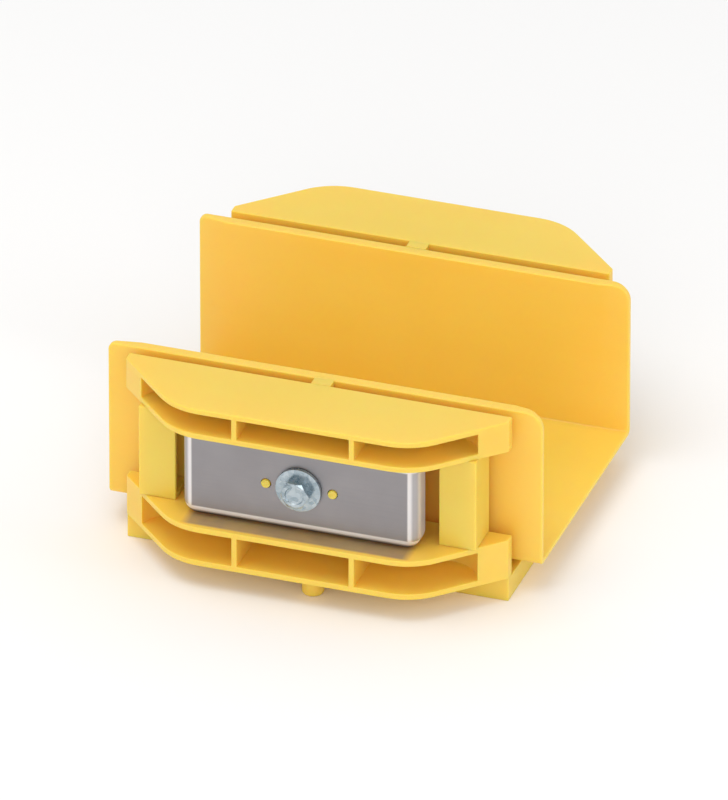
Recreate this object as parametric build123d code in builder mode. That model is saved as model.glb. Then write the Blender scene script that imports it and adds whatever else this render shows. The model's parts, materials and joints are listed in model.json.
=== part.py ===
from build123d import *
import os

# U-shaped coupler for cable raceway. X runs along the raceway, -Y is the front, Z = 0 is the resting plane.
# A raceway wall slides into the slot between the liner and the frame, and a bolted plate bites on it.

# liner
liner_length = 244.0
liner_half_width = 75.5
liner_bottom = 17.6
top_height = 109.85
wall_thickness = 6.5
floor_thickness = 4.0
lead_length = 17.0
lead_relief = 3.0
lead_floor_relief = 1.5
left_corner_radius = 4.0
right_corner_radius = 10.0
keel_radius = 3.5

# slots for the raceway walls and floor
slot_width = 6.5
floor_gap = 4.5
stop_width = 11.0

# frame
frame_length = 214.8
frame_inner = liner_half_width + slot_width
tray_top = liner_bottom - floor_gap
tray_floor = 3.5
skirt_outer = 87.6
skirt_height = 14.1
rim_width = 3.5
rib_width = 2.4
tray_rib_columns = 8
tray_rib_rows = 6

# rails
rail_skin = 3.25
rail_back = 3.5
rail_reach = 128.4
rail_tip_reach = 88.0
rail_shoulder = 67.0
rail_bend_radius = 34.0
rail_rib_x = 32.9
rail_rib_width = 3.0
rail_pocket_end = 95.0
rail_pocket_corner = 20.0
top_rail_bottom = 91.5
bottom_rail_top = 37.6
foot_radius = 6.0
foot_x = 6.0
foot_centre = 112.0
foot_rounding = 2.0

# posts and bolt tower
post_centre = 84.35
post_width = 20.7
post_reach = 104.5
post_skin = 3.0
tower_width = 50.0
tower_reach = 98.0
pin_radius = 2.5
pin_spacing = 37.4
pin_reach = 118.0
insert_radius = 7.5
insert_inner = 84.0
tower_bore_radius = 5.4

# clamp plate and bolt
bolt_height = 65.1
plate_outer = 117.0
plate_gauge = 2.0
plate_length = 132.5
plate_gap = 0.3
plate_depth = 13.0
plate_corner = 8.0
plate_roll = 6.0
tongue_inner = 84.0
tongue_height = 30.6
tongue_spacing = 114.0
tooth_pitch = 5.1
tooth_depth = 2.2
tooth_count = 6
bolt_radius = 4.76
bolt_length = 28.6
tip_chamfer = 0.8
thread_clearance = 0.08
plate_bolt_clearance = 0.3
plate_pin_clearance = 0.3
stack_clearance = 0.3
washer_radius = 12.7
washer_thickness = 2.1
head_across_flats = 14.3
head_height = 6.3
ring_radius = 8.5
ring_thickness = 1.6

middle_bottom = Plane.XY.offset(bottom_rail_top)
window_height = top_rail_bottom - bottom_rail_top
plate_height = window_height - 2 * plate_gap
plate_middle = (top_rail_bottom + bottom_rail_top) / 2
washer_inner = plate_outer + stack_clearance
head_inner = washer_inner + washer_thickness
bolt_tip = head_inner - bolt_length
ring_outer = plate_outer - plate_gauge - stack_clearance


def front_plane(distance):
    """Vertical plane this far out on the front side, seen from the front, centred on the bolt."""
    return Plane(origin=(0, -distance, bolt_height), x_dir=(1, 0, 0), z_dir=(0, -1, 0))


def mirrored(front_part):
    with BuildPart() as rear:
        mirror(front_part, about=Plane.XZ)
    return rear.part


def save(part, label):
    part.label = label
    export_step(part, f"parts/{label}.step")


def save_both(front_part, label):
    save(front_part, f"front_{label}")
    save(mirrored(front_part), f"rear_{label}")


os.makedirs("parts", exist_ok=True)

# liner: a U section with rounded ends, opened out at both mouths
with BuildPart() as inner_liner:
    with BuildSketch(Plane.YZ.offset(-liner_length / 2)):
        with Locations((0, liner_bottom)):
            Rectangle(2 * liner_half_width, top_height - liner_bottom, align=(Align.CENTER, Align.MIN))
        with Locations((0, liner_bottom + floor_thickness)):
            Rectangle(2 * (liner_half_width - wall_thickness), top_height,
                      align=(Align.CENTER, Align.MIN), mode=Mode.SUBTRACT)
    extrude(amount=liner_length)
    for group, radius in ((0, left_corner_radius), (-1, right_corner_radius)):
        top_edges = inner_liner.edges().filter_by(Axis.Y).group_by(Axis.Z)[-1]
        fillet(top_edges.group_by(Axis.X)[group], radius)
    fillet(inner_liner.edges().filter_by(Axis.X).group_by(Axis.Z)[0], keel_radius)
    for end in (-1, 1):
        for inset, relief, floor_relief in ((lead_length, 0, 0), (0, lead_relief, lead_floor_relief)):
            with BuildSketch(Plane.YZ.offset(end * (liner_length / 2 - inset))):
                with Locations((0, liner_bottom + floor_thickness - floor_relief)):
                    Rectangle(2 * (liner_half_width - wall_thickness + relief), top_height,
                              align=(Align.CENTER, Align.MIN))
        loft(mode=Mode.SUBTRACT)
save(inner_liner.part, "inner_liner")

# stop web: joins liner and frame halfway along, and stops both raceway ends
with BuildPart() as centre_stop_web:
    with BuildSketch(Plane.YZ.offset(-stop_width / 2)):
        with Locations((0, tray_top)):
            Rectangle(2 * frame_inner, top_height - tray_top, align=(Align.CENTER, Align.MIN))
        with Locations((0, liner_bottom)):
            Rectangle(2 * liner_half_width, top_height, align=(Align.CENTER, Align.MIN), mode=Mode.SUBTRACT)
    extrude(amount=stop_width)
    inner_corners = centre_stop_web.edges().filter_by(Axis.X).filter_by_position(
        Axis.Z, liner_bottom - 0.1, liner_bottom + 0.1)
    fillet(inner_corners, keel_radius)
save(centre_stop_web.part, "centre_stop_web")

# tray: floor with skirts, its underside cored out between ribs
with BuildPart() as outer_tray:
    with BuildSketch(Plane.XY):
        Rectangle(frame_length, 2 * skirt_outer)
    extrude(amount=skirt_height)
    with BuildSketch(Plane.XY.offset(tray_top)):
        Rectangle(frame_length, 2 * frame_inner)
    extrude(amount=skirt_height, mode=Mode.SUBTRACT)
    cell_x = (frame_length - 2 * rim_width + rib_width) / tray_rib_columns
    cell_y = (2 * frame_inner + rib_width) / tray_rib_rows
    with BuildSketch(Plane.XY):
        with GridLocations(cell_x, cell_y, tray_rib_columns, tray_rib_rows):
            Rectangle(cell_x - rib_width, cell_y - rib_width)
    extrude(amount=tray_top - tray_floor, mode=Mode.SUBTRACT)
save(outer_tray.part, "outer_tray")


def front_rail(bottom, top):
    """Rail box, open outward, with a bowed outer edge and two ribs."""
    with BuildPart() as rail:
        with BuildSketch(Plane.XY.offset(bottom)):
            with BuildLine():
                Polyline(
                    (-frame_length / 2, -frame_inner),
                    (-frame_length / 2, -rail_tip_reach),
                    (-rail_shoulder, -rail_reach),
                    (rail_shoulder, -rail_reach),
                    (frame_length / 2, -rail_tip_reach),
                    (frame_length / 2, -frame_inner),
                    close=True,
                )
            make_face()
        extrude(amount=top - bottom)
        bends = rail.edges().filter_by(Axis.Z).group_by(Axis.Y)[0]
        fillet(bends, rail_bend_radius)
        with BuildSketch(Plane.XY.offset(bottom + rail_skin)):
            with Locations((0, -frame_inner - rail_back)):
                RectangleRounded(2 * rail_pocket_end, rail_reach, rail_pocket_corner,
                                 align=(Align.CENTER, Align.MAX))
            with GridLocations(2 * rail_rib_x, 0, 2, 1):
                Rectangle(rail_rib_width, 2 * rail_reach, mode=Mode.SUBTRACT)
        extrude(amount=top - bottom - 2 * rail_skin, mode=Mode.SUBTRACT)
    return rail.part


save_both(front_rail(top_rail_bottom, top_height), "top_rail")

with BuildPart() as front_bottom_rail:
    add(front_rail(skirt_height, bottom_rail_top))
    with BuildSketch(Plane.XY):
        with Locations((foot_x, -foot_centre)):
            Circle(foot_radius)
    extrude(amount=skirt_height)
    fillet(front_bottom_rail.faces().sort_by(Axis.Z)[0].edges(), foot_rounding)
save_both(front_bottom_rail.part, "bottom_rail")

# posts: between the rails at both ends of the window, cored from the window side
for side, name in ((-1, "left_post"), (1, "right_post")):
    with BuildPart() as front_post:
        with BuildSketch(middle_bottom):
            with Locations((side * post_centre, -frame_inner)):
                Rectangle(post_width, post_reach - frame_inner, align=(Align.CENTER, Align.MAX))
        extrude(amount=window_height)
        with BuildSketch(middle_bottom.offset(post_skin)):
            with Locations((side * (post_centre - post_skin), -frame_inner - post_skin)):
                Rectangle(post_width, post_reach - frame_inner - 2 * post_skin,
                          align=(Align.CENTER, Align.MAX))
        extrude(amount=window_height - 2 * post_skin, mode=Mode.SUBTRACT)
    save_both(front_post.part, name)

# bolt tower: carries the insert and the two guide pins
with BuildPart() as front_bolt_tower:
    with BuildSketch(middle_bottom):
        with Locations((0, -frame_inner)):
            Rectangle(tower_width, tower_reach - frame_inner, align=(Align.CENTER, Align.MAX))
    extrude(amount=window_height)
    with BuildSketch(front_plane(frame_inner)):
        with GridLocations(pin_spacing, 0, 2, 1):
            Circle(pin_radius)
    extrude(amount=pin_reach - frame_inner)
    with BuildSketch(front_plane(frame_inner)):
        Circle(tower_bore_radius)
    extrude(amount=tower_reach, mode=Mode.SUBTRACT)
    with BuildSketch(front_plane(insert_inner)):
        Circle(insert_radius)
    extrude(amount=tower_reach, mode=Mode.SUBTRACT)
save_both(front_bolt_tower.part, "bolt_tower")

with BuildPart() as front_threaded_insert:
    with BuildSketch(front_plane(insert_inner)):
        Circle(insert_radius)
        Circle(bolt_radius + thread_clearance, mode=Mode.SUBTRACT)
    extrude(amount=tower_reach - insert_inner)
save_both(front_threaded_insert.part, "threaded_insert")

# clamp plate: a pressed pan with a rolled edge, and two toothed tongues running in from its back
with BuildPart() as front_clamp_plate:
    with BuildSketch(front_plane(plate_outer - plate_depth)):
        with Locations((0, plate_middle - bolt_height)):
            RectangleRounded(plate_length, plate_height, plate_corner)
    extrude(amount=plate_depth)
    fillet(front_clamp_plate.faces().sort_by(Axis.Y)[0].edges(), plate_roll)
    open_back = front_clamp_plate.faces().sort_by(Axis.Y)[-1]
    offset(amount=-plate_gauge, openings=open_back)
    with BuildSketch(front_plane(tongue_inner)):
        with GridLocations(tongue_spacing, 0, 2, 1):
            Rectangle(plate_gauge, tongue_height)
    extrude(amount=plate_outer - plate_gauge - tongue_inner)
    with BuildSketch(front_plane(plate_outer)):
        Circle(bolt_radius + plate_bolt_clearance)
        with GridLocations(pin_spacing, 0, 2, 1):
            Circle(pin_radius + plate_pin_clearance)
    extrude(amount=-2 * plate_gauge, mode=Mode.SUBTRACT)
    with BuildSketch(Plane.YZ):
        with Locations((-tongue_inner, bolt_height)):
            with GridLocations(0, tooth_pitch, 1, tooth_count):
                Rectangle(tooth_depth * 2**0.5, tooth_depth * 2**0.5, rotation=45)
    extrude(amount=plate_length, both=True, mode=Mode.SUBTRACT)
save_both(front_clamp_plate.part, "clamp_plate")

# bolt, washer and retaining ring turn together; the ring draws the plate back out
with BuildPart() as front_clamp_bolt:
    with BuildSketch(front_plane(bolt_tip)):
        Circle(bolt_radius)
    extrude(amount=bolt_length)
    chamfer(front_clamp_bolt.faces().sort_by(Axis.Y)[-1].edges(), tip_chamfer)
    with BuildSketch(front_plane(head_inner)):
        RegularPolygon(head_across_flats / 2, 6, major_radius=False)
    extrude(amount=head_height)
save_both(front_clamp_bolt.part, "clamp_bolt")

with BuildPart() as front_washer:
    with BuildSketch(front_plane(washer_inner)):
        Circle(washer_radius)
        Circle(bolt_radius, mode=Mode.SUBTRACT)
    extrude(amount=washer_thickness)
save_both(front_washer.part, "washer")

with BuildPart() as front_retaining_ring:
    with BuildSketch(front_plane(ring_outer)):
        Circle(ring_radius)
        Circle(bolt_radius, mode=Mode.SUBTRACT)
    extrude(amount=-ring_thickness)
save_both(front_retaining_ring.part, "retaining_ring")
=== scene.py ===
import json
from math import cos, pi, radians, sin

import bpy
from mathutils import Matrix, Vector

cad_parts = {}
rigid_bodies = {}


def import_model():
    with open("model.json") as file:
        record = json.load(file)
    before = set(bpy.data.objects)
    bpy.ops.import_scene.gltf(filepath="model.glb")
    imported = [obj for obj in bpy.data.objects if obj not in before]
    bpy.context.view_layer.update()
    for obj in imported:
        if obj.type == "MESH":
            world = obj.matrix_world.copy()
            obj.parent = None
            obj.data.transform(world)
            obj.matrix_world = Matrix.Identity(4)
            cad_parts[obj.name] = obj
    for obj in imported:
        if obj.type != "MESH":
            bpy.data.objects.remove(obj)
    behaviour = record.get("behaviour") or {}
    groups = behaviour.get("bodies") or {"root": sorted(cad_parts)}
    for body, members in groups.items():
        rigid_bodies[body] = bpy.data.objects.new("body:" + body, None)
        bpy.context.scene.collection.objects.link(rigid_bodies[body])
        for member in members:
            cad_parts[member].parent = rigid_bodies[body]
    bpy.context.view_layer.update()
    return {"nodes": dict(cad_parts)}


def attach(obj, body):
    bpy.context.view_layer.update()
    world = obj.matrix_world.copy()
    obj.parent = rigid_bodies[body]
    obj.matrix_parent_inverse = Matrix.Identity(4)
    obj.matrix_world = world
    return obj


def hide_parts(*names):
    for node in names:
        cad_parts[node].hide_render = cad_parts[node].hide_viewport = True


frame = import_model()
nodes = frame["nodes"]
mm = 0.001
print("frame loaded:", len(nodes), "nodes")


def clearSelection():
    if bpy.context.mode != "OBJECT":
        bpy.ops.object.mode_set(mode="OBJECT")
    for other in bpy.context.view_layer.objects:
        other.select_set(False)


def pick(piece):
    clearSelection()
    piece.select_set(True)
    bpy.context.view_layer.objects.active = piece


def added(name):
    piece = bpy.context.active_object
    piece.name = name
    piece.data.name = name
    return piece


def editMode(piece, kind="FACE"):
    pick(piece)
    bpy.ops.object.mode_set(mode="EDIT")
    bpy.ops.mesh.select_mode(type=kind)
    bpy.ops.mesh.select_all(action="DESELECT")


def objectMode():
    bpy.ops.object.mode_set(mode="OBJECT")


def chooseFaces(piece, test):
    # leaves the piece in edit mode with only the faces that pass the test selected
    objectMode()
    mesh = piece.data
    for vert in mesh.vertices:
        vert.select = False
    for edge in mesh.edges:
        edge.select = False
    for face in mesh.polygons:
        face.select = bool(test(face))
    bpy.ops.object.mode_set(mode="EDIT")
    bpy.ops.mesh.select_mode(type="FACE")


def applyAll(piece):
    pick(piece)
    for modifier in list(piece.modifiers):
        bpy.ops.object.modifier_apply(modifier=modifier.name)


def settle(piece):
    # the place, turn and size go into the mesh
    pick(piece)
    bpy.ops.object.transform_apply(location=True, rotation=True, scale=True)


def smoothBy(piece, angle):
    pick(piece)
    bpy.ops.object.shade_smooth_by_angle(angle=radians(angle))


def mergeDoubles(piece, distance=1e-6):
    editMode(piece, "VERT")
    bpy.ops.mesh.select_all(action="SELECT")
    bpy.ops.mesh.remove_doubles(threshold=distance)
    objectMode()


def outward(piece):
    editMode(piece)
    bpy.ops.mesh.select_all(action="SELECT")
    bpy.ops.mesh.normals_make_consistent(inside=False)
    objectMode()


def bevelEdges(piece, width, segments=2, angle=35):
    modifier = piece.modifiers.new("soft edges", "BEVEL")
    modifier.width = width
    modifier.segments = segments
    modifier.limit_method = "ANGLE"
    modifier.angle_limit = radians(angle)
    modifier.use_clamp_overlap = True
    modifier.loop_slide = False   # an even width, and no folds where a seam meets a corner
    applyAll(piece)


def evenShading(piece, angle):
    # large flat faces keep their own normal, so only the rounded edges shade round
    smoothBy(piece, angle)
    modifier = piece.modifiers.new("even shading", "WEIGHTED_NORMAL")
    modifier.mode = "FACE_AREA"
    modifier.keep_sharp = True
    applyAll(piece)


flatAngle = 0.4    # degrees; triangles that meet flatter than this are one face


def copyNode(nodeName, name):
    source = nodes[nodeName]
    piece = source.copy()
    piece.data = source.data.copy()
    bpy.context.scene.collection.objects.link(piece)
    piece.parent = None
    piece.matrix_world = source.matrix_world.copy()
    piece.name = name
    piece.data.name = name
    settle(piece)
    mergeDoubles(piece)
    # loose triangles on one plane become one face, so a bevel meets clean edges
    editMode(piece)
    bpy.ops.mesh.select_all(action="SELECT")
    bpy.ops.mesh.dissolve_limited(angle_limit=radians(flatAngle))
    objectMode()
    return piece


cameraValues = {
    "azimuth": 18.836,
    "elevation": 29.637,
    "distance": 10.729,
    "target": (0.0, 0.0, 62.6 * mm),
    "sideways": -3.41 * mm,   # framing: how far the aim lies from the target
    "upwards": -5.47 * mm,
    "lens": 901.88,           # a long lens keeps the sides nearly parallel
    "sensor": 36.0,
    "clip": (0.1, 60),
}


def makeCamera(v):
    az = radians(v["azimuth"])
    el = radians(v["elevation"])
    back = Vector((sin(az) * cos(el), -cos(az) * cos(el), sin(el)))
    right = Vector((cos(az), sin(az), 0))
    up = back.cross(right)
    aim = Vector(v["target"]) + right * v["sideways"] + up * v["upwards"]
    data = bpy.data.cameras.new("frontCamera")
    camera = bpy.data.objects.new("frontCamera", data)
    bpy.context.scene.collection.objects.link(camera)
    camera.location = aim + back * v["distance"]
    camera.rotation_euler = back.to_track_quat("Z", "Y").to_euler()
    data.sensor_fit = "AUTO"
    data.sensor_width = v["sensor"]
    data.lens = v["lens"]
    data.clip_start, data.clip_end = v["clip"]
    bpy.context.scene.camera = camera


makeCamera(cameraValues)
print("camera placed")


studioValues = {
    "floorSize": 30.0,
    "floorColor": (0.97, 0.97, 0.97, 1),
    "floorRoughness": 0.9,
    "floorSpecular": 0.2,
    "worldColor": (1.0, 1.0, 1.0, 1),
    "worldStrength": 0.72,
    "lights": (
        # name, place, aim, size, power, colour
        ("overheadSoftbox", (-0.4, -0.5, 2.2), (0, 0, 0.05), 1.6, 15.5, (1.0, 0.985, 0.96)),
        ("frontSoftbox", (0.6, -2.2, 1.0), (0, 0, 0.05), 1.3, 9.5, (1.0, 0.99, 0.97)),
        ("sideSoftbox", (2.1, -0.2, 0.9), (0, 0, 0.05), 1.0, 5, (1.0, 1.0, 1.0)),
    ),
}


def makeStudio(v):
    clearSelection()
    bpy.ops.mesh.primitive_plane_add(size=v["floorSize"], location=(0, 0, 0))
    floor = added("studioFloor")
    settle(floor)
    material = bpy.data.materials.new("palePaper")
    material.use_nodes = True
    shader = material.node_tree.nodes["Principled BSDF"]
    shader.inputs["Base Color"].default_value = v["floorColor"]
    shader.inputs["Roughness"].default_value = v["floorRoughness"]
    shader.inputs["Specular IOR Level"].default_value = v["floorSpecular"]
    floor.data.materials.append(material)
    world = bpy.data.worlds.new("studioWorld")
    world.use_nodes = True
    sky = world.node_tree.nodes["Background"]
    sky.inputs["Color"].default_value = v["worldColor"]
    sky.inputs["Strength"].default_value = v["worldStrength"]
    bpy.context.scene.world = world
    for name, place, aim, size, power, color in v["lights"]:
        data = bpy.data.lights.new(name, "AREA")
        data.shape = "DISK"
        data.size = size
        data.energy = power
        data.color = color
        light = bpy.data.objects.new(name, data)
        bpy.context.scene.collection.objects.link(light)
        light.location = place
        light.rotation_euler = (Vector(place) - Vector(aim)).to_track_quat("Z", "Y").to_euler()
    view = bpy.context.scene.view_settings
    view.view_transform = "Standard"
    view.look = "None"
    view.exposure = 0.0


makeStudio(studioValues)
print("studio lit")


class Wire:
    # one output socket; arithmetic on it adds Math nodes
    def __init__(self, kit, socket):
        self.kit = kit
        self.socket = socket

    def math(self, operation, a, b):
        return self.kit.node("ShaderNodeMath", {"operation": operation}, {0: a, 1: b})

    def __add__(self, other):
        return self.math("ADD", self, other)

    def __radd__(self, other):
        return self.math("ADD", other, self)

    def __sub__(self, other):
        return self.math("SUBTRACT", self, other)

    def __rsub__(self, other):
        return self.math("SUBTRACT", other, self)

    def __mul__(self, other):
        return self.math("MULTIPLY", self, other)

    def __rmul__(self, other):
        return self.math("MULTIPLY", other, self)

    def __truediv__(self, other):
        return self.math("DIVIDE", self, other)

    def orMore(self, other):
        return self.math("MAXIMUM", self, other)

    def clamped(self):
        return self.kit.node("ShaderNodeClamp", {}, {"Value": self})


class Finish:
    # a material being put together
    def __init__(self, name):
        self.material = bpy.data.materials.new(name)
        self.material.use_nodes = True
        self.tree = self.material.node_tree
        self.shader = self.tree.nodes["Principled BSDF"]
        coordinates = self.tree.nodes.new("ShaderNodeTexCoord")
        self.place = Wire(self, coordinates.outputs["Object"])

    def node(self, kind, settings=None, sockets=None, output=0):
        made = self.tree.nodes.new(kind)
        for key, value in (settings or {}).items():
            if key == "stops":
                ramp = made.color_ramp
                while len(ramp.elements) < len(value):
                    ramp.elements.new(0.5)
                for element, (position, color) in zip(ramp.elements, value):
                    element.position = position
                    element.color = color
            else:
                setattr(made, key, value)
        for key, value in (sockets or {}).items():
            self.feed(made.inputs[key], value)
        return Wire(self, made.outputs[output])

    def feed(self, socket, value):
        if isinstance(value, Wire):
            self.tree.links.new(value.socket, socket)
        else:
            socket.default_value = value

    def noise(self, scale, detail, roughness=0.5, where=None):
        return self.node("ShaderNodeTexNoise", {}, {
            "Vector": where or self.place, "Scale": scale, "Detail": detail, "Roughness": roughness}, "Fac")

    def drawnNoise(self, scale, detail, roughness=0.5):
        # noise drawn out along the axes with the small scales
        where = self.node("ShaderNodeMapping", {}, {"Vector": self.place, "Scale": scale})
        return self.noise(1.0, detail, roughness, where)

    def along(self, axis):
        return self.node("ShaderNodeSeparateXYZ", {}, {"Vector": self.place}, axis)

    def away(self, axis, middle):
        # distance from a middle plane along one axis
        return self.node("ShaderNodeMath", {"operation": "ABSOLUTE"}, {0: self.along(axis) - middle})

    def ramp(self, factor, span, to=(0.0, 1.0)):
        return self.node("ShaderNodeMapRange", {"clamp": True}, {
            "Value": factor, "From Min": span[0], "From Max": span[1], "To Min": to[0], "To Max": to[1]})

    def mix(self, factor, a, b):
        return self.node("ShaderNodeMix", {"data_type": "RGBA"}, {0: factor, 6: a, 7: b}, 2)

    def bump(self, height, relief, normal=None):
        strength, distance = relief
        sockets = {"Height": height, "Strength": strength, "Distance": distance}
        if normal is not None:
            sockets["Normal"] = normal
        return self.node("ShaderNodeBump", {}, sockets)

    def set(self, **values):
        names = {"color": "Base Color", "roughness": "Roughness", "metallic": "Metallic", "normal": "Normal",
                 "ior": "IOR", "specular": "Specular IOR Level", "glow": "Subsurface Weight",
                 "glowRadius": "Subsurface Radius", "glowScale": "Subsurface Scale"}
        for key, value in values.items():
            self.feed(self.shader.inputs[names[key]], value)
        return self.material


plasticValues = {
    "light": (0.950, 0.625, 0.098, 1),
    "deep": (0.930, 0.588, 0.080, 1),
    "broadScale": 11,
    "flowScale": (9, 60, 60),
    "speckScale": 700,
    "shares": (0.6, 0.3, 0.1),         # of the broad, flow and speck noise in the tone
    "toneSpan": (0.35, 0.65),
    "mottleScale": 60,
    "mottleSpan": (0.35, 0.65),
    "roughness": (0.36, 0.50),
    "grainScale": 2600,
    "grainRelief": (0.35, 0.00003),    # a relief is a strength and a depth
    "swellScale": 45,
    "swellRelief": (0.12, 0.0004),
    "glow": 0.50,                      # light passes a little way into the resin
    "glowRadius": (1.0, 0.45, 0.08),
    "glowScale": 0.012,
    "specular": 0.5,
    "ior": 1.5,
}

railTop = 37.6 * mm    # the top face of the bottom rails

plateShadowValues = {
    # painted shadow of the clamp plate on the top of the bottom rails, a dark band in front of and under its
    # lower edge
    "color": (0.30, 0.235, 0.145, 1),
    "top": (railTop - 0.3 * mm, railTop - 0.1 * mm),
    # where each edge of the mark fades, as distances from the part's middle
    "inner": (101 * mm, 102.6 * mm),
    "outer": (124.6 * mm, 126.2 * mm),
    "end": (59.8 * mm, 64.6 * mm),
    "patchScale": 60,
    "patchSpan": (0.3, 0.6),
    "strength": (0.72, 0.88),
}

plateValues = {
    "light": (0.350, 0.336, 0.350, 1),
    "dark": (0.312, 0.300, 0.314, 1),
    "highlightColor": (0.86, 0.83, 0.83, 1),   # painted highlight along the rolled rim
    "lowerEdgeShade": (0.12, 0.112, 0.10, 1),    # painted shade along the plate's lower edge, near the rails
    "brushScale": (14, 900, 900),
    "patchScale": 26,
    "shares": (0.55, 0.45),            # of the brushed and patchy noise in the tone
    "toneSpan": (0.36, 0.64),
    "middle": 64.55 * mm,
    "rimStart": 58 * mm,
    "rimSpan": 10 * mm,
    # how strong the painted highlight on the rim is across rimSpan, going outward
    "sideShine": ((0.22, 0), (0.30, 1), (0.42, 0.9), (0.54, 0.25), (0.72, 0.25), (0.82, 0.85)),
    "edge": (20.3 * mm, 21.0 * mm),
    "shadeBandSpan": (22.6 * mm, 25.2 * mm),
    "leastHighlight": 0.75,
    "patchHighlight": 0.5,
    "highlightMetallicDrop": 0.6,
    "smearScale": 90,
    "smearShares": (0.6, 0.4),
    "smearSpan": (0.35, 0.65),
    "roughness": (0.42, 0.55),
    "brushRelief": (0.12, 0.00003),
    "grainScale": 1500,
    "grainRelief": (0.15, 0.00002),
}

zincValues = {
    "light": (0.52, 0.590, 0.635, 1),
    "dark": (0.31, 0.385, 0.430, 1),
    "spangleScale": 420,
    "hazeScale": 240,
    "shares": (0.45, 0.55),            # of the spangles and the haze in the tone
    "toneSpan": (0.25, 0.75),
    "roughSpan": (0.2, 0.8),
    "roughness": (0.22, 0.40),
    "relief": (0.2, 0.00006),
}

turnedValues = {
    "hazeScale": 300,
    "lineScale": (300, 4000, 300),
    "shares": (0.6, 0.4),              # of the haze and the turning lines in the tone
    "toneSpan": (0.3, 0.7),
    "relief": (0.2, 0.00003),
}
ringValues = {"light": (0.36, 0.36, 0.37, 1), "dark": (0.22, 0.22, 0.23, 1), "roughness": (0.30, 0.45)}
brassValues = {"light": (0.80, 0.58, 0.26, 1), "dark": (0.62, 0.43, 0.18, 1), "roughness": (0.22, 0.38)}


def paintPlateShadow(m, plateShadow):
    # paints the clamp plate's shadow into the colour of the bottom rails' top face
    onTop = m.ramp(m.along("Z"), plateShadow["top"])
    fromMiddle = m.away("Y", 0.0)
    across = m.ramp(fromMiddle, plateShadow["inner"]) * (1 - m.ramp(fromMiddle, plateShadow["outer"]))
    ends = 1 - m.ramp(m.away("X", 0.0), plateShadow["end"])
    patchy = m.ramp(m.noise(plateShadow["patchScale"], detail=3), plateShadow["patchSpan"], plateShadow["strength"])
    return onTop * across * ends * patchy


def yellowPlastic(name, v, plateShadow=None):
    m = Finish(name)
    flow = m.drawnNoise(v["flowScale"], detail=4)
    broadShare, flowShare, speckShare = v["shares"]
    tone = broadShare * m.noise(v["broadScale"], detail=2) + flowShare * flow
    tone = (tone + speckShare * m.noise(v["speckScale"], detail=2)).clamped()
    color = m.mix(m.ramp(tone, v["toneSpan"]), v["deep"], v["light"])
    if plateShadow:
        # the clamp plate's painted shadow darkens the colour here
        color = m.mix(paintPlateShadow(m, plateShadow), color, plateShadow["color"])
    mottle = 0.5 * m.noise(v["mottleScale"], detail=3) + 0.5 * flow
    normal = m.bump(m.noise(v["grainScale"], detail=2), v["grainRelief"])
    normal = m.bump(m.noise(v["swellScale"], detail=1), v["swellRelief"], normal)
    return m.set(color=color, roughness=m.ramp(mottle, v["mottleSpan"], v["roughness"]), normal=normal,
                 specular=v["specular"], ior=v["ior"], glow=v["glow"], glowRadius=v["glowRadius"],
                 glowScale=v["glowScale"])


def rolledSteel(v):
    m = Finish("rolledSteelPlate")
    brush = m.drawnNoise(v["brushScale"], detail=5, roughness=0.65)
    patch = m.noise(v["patchScale"], detail=3)
    brushShare, patchShare = v["shares"]
    tone = (brushShare * brush + patchShare * patch).clamped()
    base = m.mix(m.ramp(tone, v["toneSpan"]), v["dark"], v["light"])
    # the painted highlight on the plate's rolled ends, stop by stop
    stops = tuple((position, (gray, gray, gray, 1)) for position, gray in v["sideShine"])
    acrossRim = (m.away("X", 0.0) - v["rimStart"]) / v["rimSpan"]
    ends = m.node("ShaderNodeValToRGB", {"stops": stops}, {"Fac": acrossRim})
    upDown = m.away("Z", v["middle"])
    # painted shade: the colour turns dark along the plate's lower edge
    outsideShadeBand = 1 - m.ramp(upDown, v["shadeBandSpan"])
    rim = m.ramp(upDown, v["edge"]).orMore(ends)
    # a patchy painted highlight along the rolled rim; the metal is made less metallic where it lies
    highlightMask = (rim * (v["leastHighlight"] + v["patchHighlight"] * patch)).clamped() * outsideShadeBand
    color = m.mix(outsideShadeBand, v["lowerEdgeShade"], m.mix(highlightMask, base, v["highlightColor"]))
    brushShare, smearShare = v["smearShares"]
    smear = brushShare * brush + smearShare * m.noise(v["smearScale"], detail=3)
    normal = m.bump(brush, v["brushRelief"])
    normal = m.bump(m.noise(v["grainScale"], detail=2), v["grainRelief"], normal)
    return m.set(color=color, roughness=m.ramp(smear, v["smearSpan"], v["roughness"]),
                 metallic=1.0 - v["highlightMetallicDrop"] * highlightMask, normal=normal)


def zincPlate(v):
    m = Finish("brightZinc")
    cells = m.node("ShaderNodeTexVoronoi", {"feature": "F1"}, {"Vector": m.place, "Scale": v["spangleScale"]},
                   "Color")
    spangle = m.node("ShaderNodeSeparateColor", {}, {"Color": cells})
    haze = m.noise(v["hazeScale"], detail=4)
    spangleShare, hazeShare = v["shares"]
    tone = (spangleShare * spangle + hazeShare * haze).clamped()
    return m.set(color=m.mix(m.ramp(tone, v["toneSpan"]), v["dark"], v["light"]),
                 roughness=m.ramp(tone, v["roughSpan"], v["roughness"]), metallic=1.0,
                 normal=m.bump(haze, v["relief"]))


def turnedMetal(name, tint, v):
    m = Finish(name)
    lines = m.drawnNoise(v["lineScale"], detail=3)
    hazeShare, lineShare = v["shares"]
    tone = (hazeShare * m.noise(v["hazeScale"], detail=4) + lineShare * lines).clamped()
    return m.set(color=m.mix(m.ramp(tone, v["toneSpan"]), tint["dark"], tint["light"]),
                 roughness=m.ramp(tone, v["toneSpan"], tint["roughness"]), metallic=1.0,
                 normal=m.bump(lines, v["relief"]))


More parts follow.
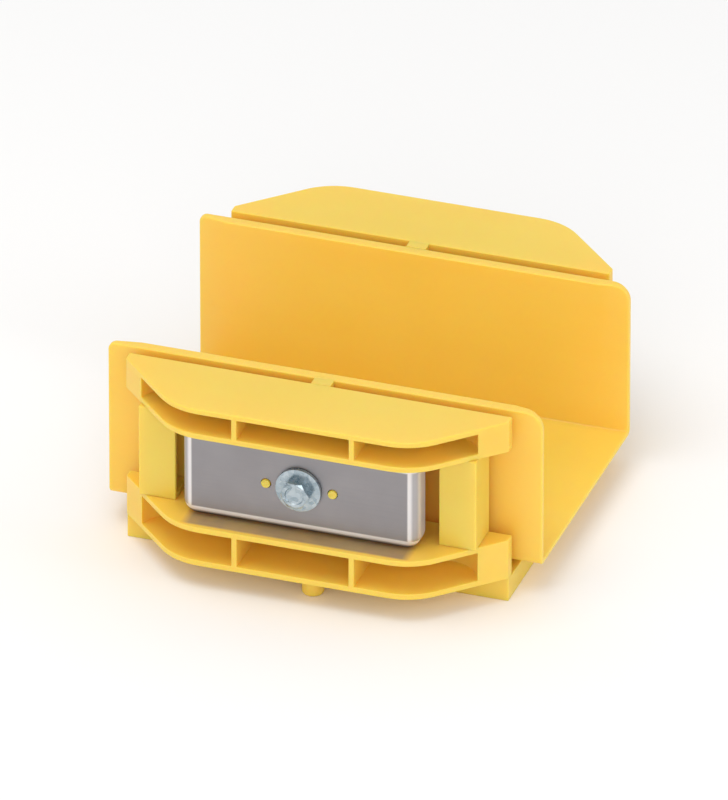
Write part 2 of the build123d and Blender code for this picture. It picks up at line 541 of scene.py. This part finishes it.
plastic = yellowPlastic("mouldedYellowPlastic", plasticValues)
plateShadowedPlastic = yellowPlastic("plateShadowedYellowPlastic", plasticValues, plateShadowValues)
steel = rolledSteel(plateValues)
zinc = zincPlate(zincValues)
springSteel = turnedMetal("darkSpringSteel", ringValues, turnedValues)
brass = turnedMetal("turnedBrass", brassValues, turnedValues)
print("finishes mixed")


def dress(piece, material, body, slot, *replaced):
    piece.data.materials.clear()
    piece.data.materials.append(material)
    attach(piece, body)
    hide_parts(*replaced)


mouldingValues = {
    # node: (piece, edge rounding in mm)
    "inner_liner": ("innerLiner", 0.9),
    "outer_tray": ("outerTray", 0.5),
    "centre_stop_web": ("centreStopWeb", 0.35),
    "front_top_rail": ("frontTopRail", 0.7),
    "rear_top_rail": ("rearTopRail", 0.7),
    "front_bottom_rail": ("frontBottomRail", 0.7),
    "rear_bottom_rail": ("rearBottomRail", 0.7),
    "front_left_post": ("frontLeftPost", 0.6),
    "front_right_post": ("frontRightPost", 0.6),
    "rear_left_post": ("rearLeftPost", 0.6),
    "rear_right_post": ("rearRightPost", 0.6),
    "front_bolt_tower": ("frontBoltTower", 0.5),
    "rear_bolt_tower": ("rearBoltTower", 0.5),
}

mouldingCorner = 32    # degrees; a sharper turn gets a rounded edge

for nodeName, (pieceName, rounding) in mouldingValues.items():
    piece = copyNode(nodeName, pieceName)
    bevelEdges(piece, rounding * mm, segments=3, angle=mouldingCorner)
    evenShading(piece, mouldingCorner)
    # the bottom rails get the yellow with the clamp plate's painted shadow
    finish = plateShadowedPlastic if "bottom_rail" in nodeName else plastic
    dress(piece, finish, "coupler_body", "yellow_plastic", nodeName)
print("mouldings softened")


plateEdgeValues = {"width": 0.35 * mm, "corner": 40, "shading": 35}

for side in ("front", "rear"):
    piece = copyNode(f"{side}_clamp_plate", f"{side}ClampPlate")
    bevelEdges(piece, plateEdgeValues["width"], segments=2, angle=plateEdgeValues["corner"])
    evenShading(piece, plateEdgeValues["shading"])
    dress(piece, steel, f"{side}_clamp", "plate_steel", f"{side}_clamp_plate")
print("plates edged")


boltValues = {
    "height": 65.1,        # all in mm
    "headSeat": 119.4,
    "acrossFlats": 14.3,
    "headHeight": 6.3,
    "chamferTop": 6.75,    # radius of the flat that the corner chamfer leaves
    "chamferSlope": 0.577,
    "chamferReach": 10,
    "dishRim": 1.5,
    "dishDepth": 0.7,
    "dishWall": 0.92,      # how much narrower the dish is at its foot
    "dishFloor": 0.9,
    "floorDepth": 0.1,
    "shankLength": 28.6,
    "majorRadius": 4.72,
    "threadDepth": 0.9,
    "pitch": 1.5875,
    "turnSteps": 28,
    "shading": 28,
}


def standOnSide(piece, distance, height):
    # a piece modelled upright on Z comes to stand out of the front
    piece.rotation_euler = (pi / 2, 0, 0)
    piece.location = (0, -distance * mm, height * mm)
    settle(piece)


def turnToRear(piece, name):
    twin = piece.copy()
    twin.data = piece.data.copy()
    bpy.context.scene.collection.objects.link(twin)
    twin.name = name
    twin.data.name = name
    twin.rotation_euler = (0, 0, pi)
    settle(twin)
    return twin


def makeThread(v):
    # a V profile: one corner of a square, wound up by a screw
    half = v["pitch"] / 2 * mm
    clearSelection()
    bpy.ops.mesh.primitive_plane_add(size=half * 2**0.5, rotation=(pi / 2, pi / 4, 0))
    thread = added("thread")
    settle(thread)
    editMode(thread)
    bpy.ops.mesh.select_all(action="SELECT")
    bpy.ops.mesh.delete(type="ONLY_FACE")
    bpy.ops.mesh.select_mode(type="VERT")
    objectMode()
    inner = min(thread.data.vertices, key=lambda vert: vert.co.x).index
    for vert in thread.data.vertices:
        vert.select = vert.index == inner
    bpy.ops.object.mode_set(mode="EDIT")
    bpy.ops.mesh.delete(type="VERT")
    bpy.ops.mesh.select_all(action="SELECT")
    bpy.ops.transform.resize(value=(v["threadDepth"] * mm / half, 1, 1), center_override=(half, 0, 0))
    bpy.ops.transform.translate(value=(v["majorRadius"] * mm - half, 0, -v["shankLength"] * mm + half))
    objectMode()
    screw = thread.modifiers.new("winding", "SCREW")
    screw.axis = "Z"
    screw.screw_offset = v["pitch"] * mm
    screw.iterations = int(v["shankLength"] / v["pitch"])
    screw.steps = v["turnSteps"]
    screw.render_steps = v["turnSteps"]
    screw.use_merge_vertices = True
    screw.merge_threshold = 1e-6
    applyAll(thread)
    mergeDoubles(thread)
    editMode(thread, "EDGE")
    bpy.ops.mesh.select_non_manifold(extend=False)
    bpy.ops.mesh.fill_holes(sides=0)
    objectMode()
    outward(thread)
    return thread


def makeHead(v):
    tall = v["headHeight"] * mm
    clearSelection()
    acrossCorners = v["acrossFlats"] / cos(pi / 6) * mm
    bpy.ops.mesh.primitive_cylinder_add(vertices=6, radius=acrossCorners / 2, depth=tall,
                                        location=(0, 0, tall / 2), rotation=(0, 0, pi / 2))
    head = added("head")
    settle(head)
    # a flat cone trims the six corners
    reach = v["chamferReach"] * mm
    narrow = v["chamferTop"] * mm
    bpy.ops.mesh.primitive_cone_add(vertices=96, radius1=narrow + reach / v["chamferSlope"], radius2=narrow,
                                    depth=reach, location=(0, 0, tall - reach / 2))
    cutter = added("headCutter")
    settle(cutter)
    trim = head.modifiers.new("corner trim", "BOOLEAN")
    trim.operation = "INTERSECT"
    trim.solver = "EXACT"
    trim.object = cutter
    applyAll(head)
    bpy.data.objects.remove(cutter)
    mergeDoubles(head, 1e-7)
    chooseFaces(head, lambda face: face.normal.z > 0.99 and face.center.z > tall * 0.9)
    # the rim, then the sides and the floor of the shallow dish
    rimScale = 1 - v["dishRim"] / v["chamferTop"]
    for scale, drop in ((rimScale, 0), (v["dishWall"], v["dishDepth"]), (v["dishFloor"], v["floorDepth"])):
        bpy.ops.mesh.extrude_region_move()
        bpy.ops.transform.resize(value=(scale, scale, 1), center_override=(0, 0, 0))
        bpy.ops.transform.translate(value=(0, 0, -drop * mm))
    objectMode()
    outward(head)
    return head


def makeBolt(v):
    head = makeHead(v)
    thread = makeThread(v)
    clearSelection()
    thread.select_set(True)
    head.select_set(True)
    bpy.context.view_layer.objects.active = head
    bpy.ops.object.join()
    bolt = added("frontClampBolt")
    smoothBy(bolt, v["shading"])
    standOnSide(bolt, v["headSeat"], v["height"])
    return bolt


collarValues = {
    # lengths in mm; the seat is how far out the inner face lies
    "Washer": {"outer": 12.7, "bore": 5.15, "length": 2.1, "seat": 117.3, "edge": 0.35},
    "RetainingRing": {"outer": 8.5, "bore": 4.76, "length": 1.6, "seat": 113.1, "edge": 0.25},
    "ThreadedInsert": {"outer": 7.5, "bore": 4.84, "length": 14.0, "seat": 84.0, "knurls": 36,
                       "knurlGap": 0.04, "knurlDepth": 0.35},
}

collarLooks = {
    # label: (material, body, slot, node)
    "Washer": (zinc, "{side}_bolt", "bolt_zinc", "{side}_washer"),
    "RetainingRing": (springSteel, "{side}_bolt", "ring_steel", "{side}_retaining_ring"),
    "ThreadedInsert": (brass, "coupler_body", "insert_brass", "{side}_threaded_insert"),
}

collarShape = {"sides": 72, "corner": 40, "shading": 35}


def makeCollar(name, v, height):
    # a flat ring: a disc opened out by inset and bridge
    clearSelection()
    thick = v["length"] * mm
    bpy.ops.mesh.primitive_cylinder_add(vertices=collarShape["sides"], radius=v["outer"] * mm, depth=thick,
                                        location=(0, 0, thick / 2))
    collar = added(name)
    settle(collar)
    chooseFaces(collar, lambda face: abs(face.normal.z) > 0.9)
    bpy.ops.mesh.inset(thickness=(v["outer"] - v["bore"]) * mm)
    bpy.ops.mesh.bridge_edge_loops()
    objectMode()
    outward(collar)
    if "knurls" in v:
        step = collarShape["sides"] // v["knurls"]
        chooseFaces(collar, lambda face: abs(face.normal.z) < 0.1 and face.normal.dot(face.center) > 0
                    and face.index % step == 0)
        bpy.ops.mesh.inset(thickness=v["knurlGap"] * mm, depth=-v["knurlDepth"] * mm, use_individual=True)
        objectMode()
    if "edge" in v:
        bevelEdges(collar, v["edge"] * mm, segments=2, angle=collarShape["corner"])
    smoothBy(collar, collarShape["shading"])
    standOnSide(collar, v["seat"], height)
    return collar


frontBolt = makeBolt(boltValues)
rearBolt = turnToRear(frontBolt, "rearClampBolt")
for side, piece in (("front", frontBolt), ("rear", rearBolt)):
    dress(piece, zinc, f"{side}_bolt", "bolt_zinc", f"{side}_clamp_bolt")

for label, values in collarValues.items():
    material, body, slotName, node = collarLooks[label]
    front = makeCollar("front" + label, values, boltValues["height"])
    rear = turnToRear(front, "rear" + label)
    for side, piece in (("front", front), ("rear", rear)):
        dress(piece, material, body.format(side=side), slotName, node.format(side=side))
print("bolts made")


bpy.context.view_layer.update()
